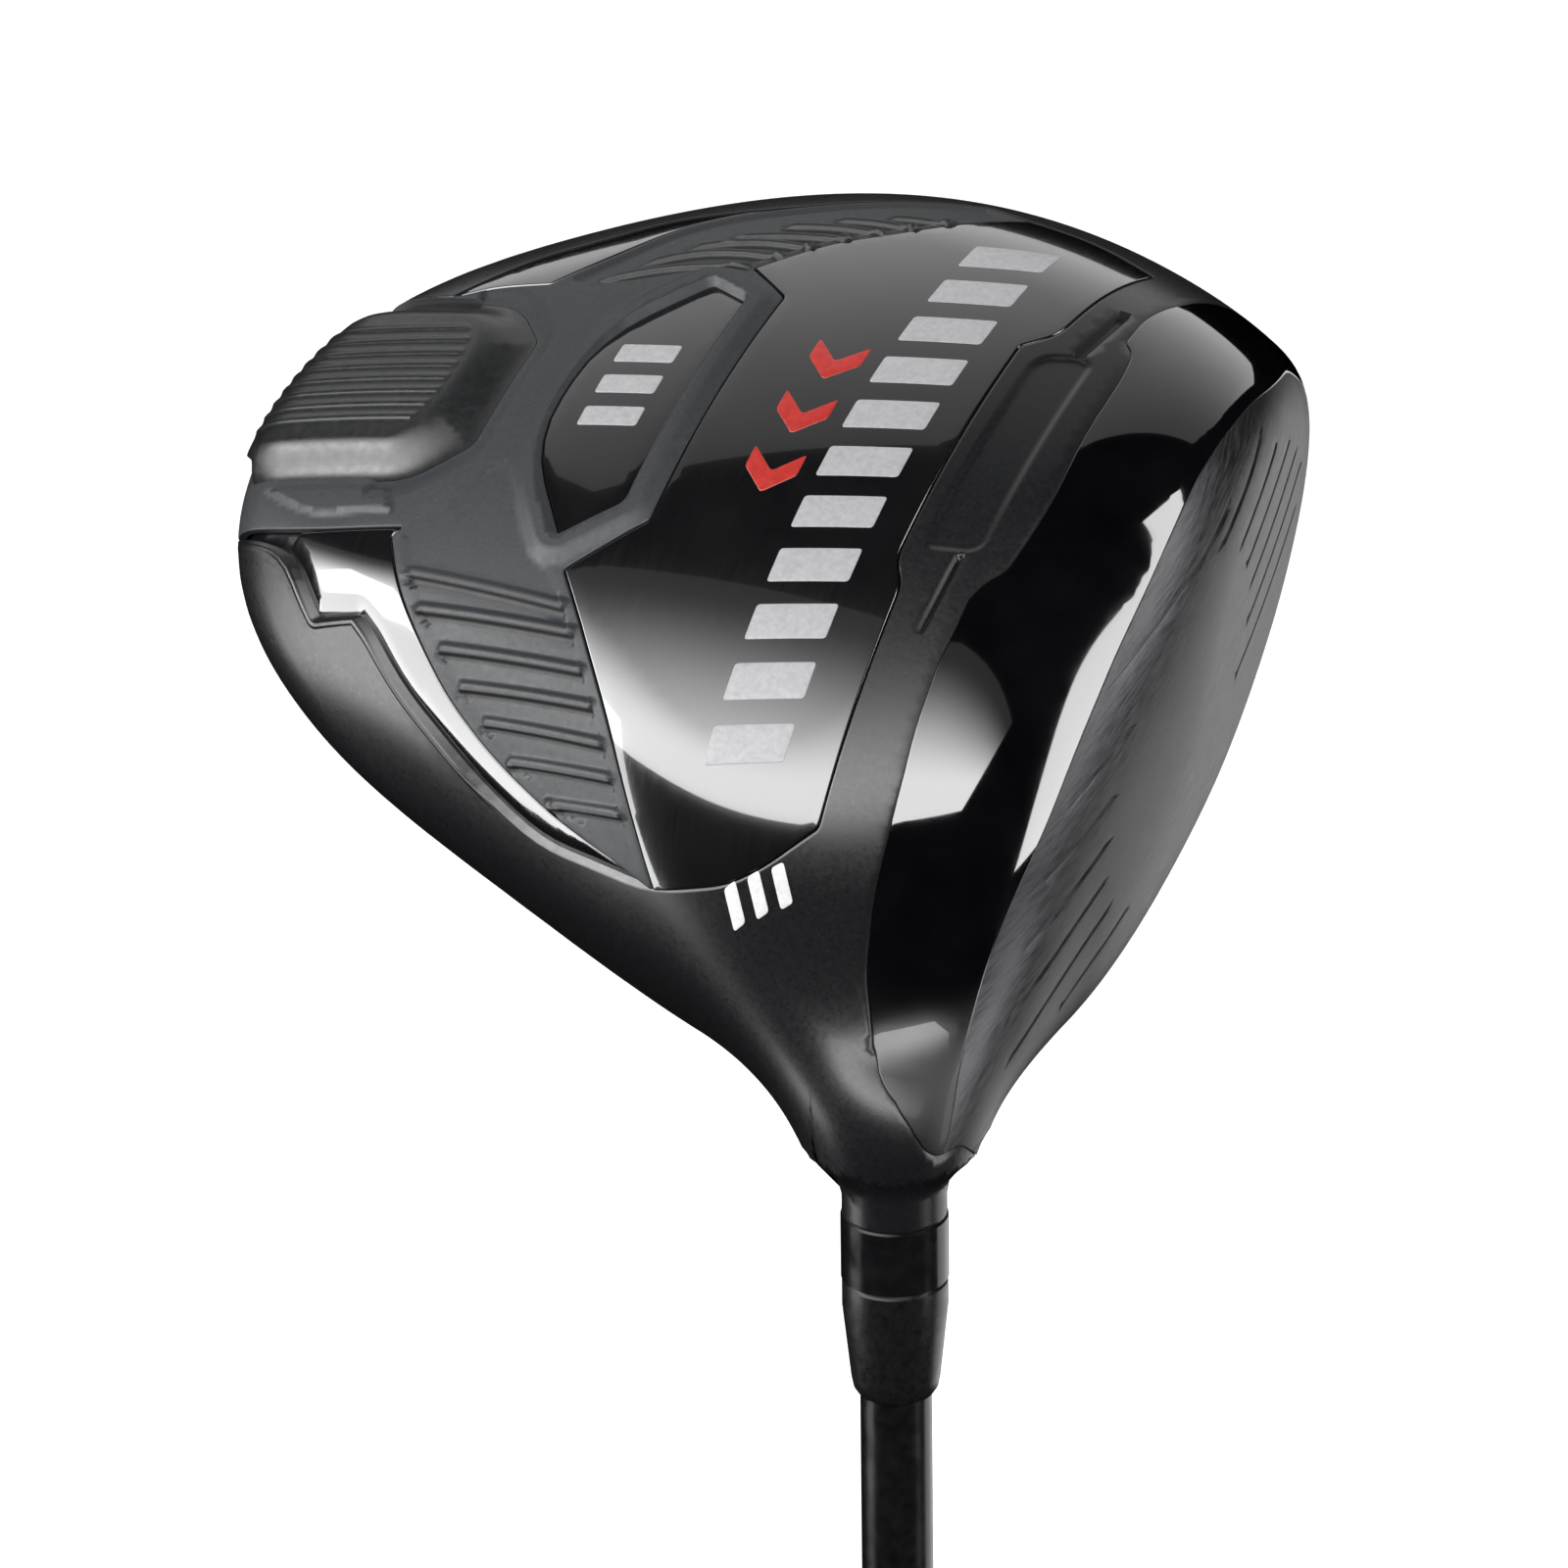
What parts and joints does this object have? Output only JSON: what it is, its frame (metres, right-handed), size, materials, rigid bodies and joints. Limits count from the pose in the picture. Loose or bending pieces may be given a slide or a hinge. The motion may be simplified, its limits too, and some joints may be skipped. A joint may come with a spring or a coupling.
{
  "type": "golf driver",
  "caption": "Right-handed driver with a large hollow head, ribbed sole frame, gloss sole panels, rear weight cover, bonded graphite shaft and rubber grip.",
  "frame": {"origin": "middle of the butt end of the grip, on the shaft's axis", "axes": "+Z along the shaft from the butt to the head, +X the way the face looks, +Y leaning from the shaft toward the toe and the crown"},
  "size_m": [0.1249, 0.1175, 1.1911],
  "materials": {
    "satin_black_titanium": "satin black lacquer on cast titanium",
    "gloss_black_titanium": "gloss black lacquer, striking surface left brushed",
    "gloss_black_panel": "piano gloss black with grey and red filled marks",
    "rib_frame_grey": "matt dark grey, finely textured",
    "cover_black": "low gloss black",
    "weight_steel": "plain machined",
    "damping_rubber": "soft tacky glue",
    "collar_black": "gloss black anodised ring",
    "ferrule_black": "satin black, turned flush",
    "epoxy_grey": "cured epoxy with shafting beads",
    "shaft_black": "satin black lacquer over wound graphite",
    "tape_paper": "double sided creped tape",
    "grip_rubber": "matt rubber with moulded texture"
  },
  "bodies": {
    "root": {"body_shell": "satin_black_titanium", "crown_shell": "satin_black_titanium", "face_cup": "gloss_black_titanium", "sole_plate": "gloss_black_panel", "heel_panel": "gloss_black_panel", "toe_panel": "gloss_black_panel", "rib_frame": "rib_frame_grey", "sole_badge": "gloss_black_panel", "rear_cover": "cover_black", "rear_weight": "weight_steel", "damping_pad": "damping_rubber", "hosel_collar": "collar_black", "ferrule": "ferrule_black", "epoxy_sleeve": "epoxy_grey", "shaft": "shaft_black", "grip_tape": "tape_paper", "grip": "grip_rubber", "grip_cap": "grip_rubber"}
  },
  "joints": []
}
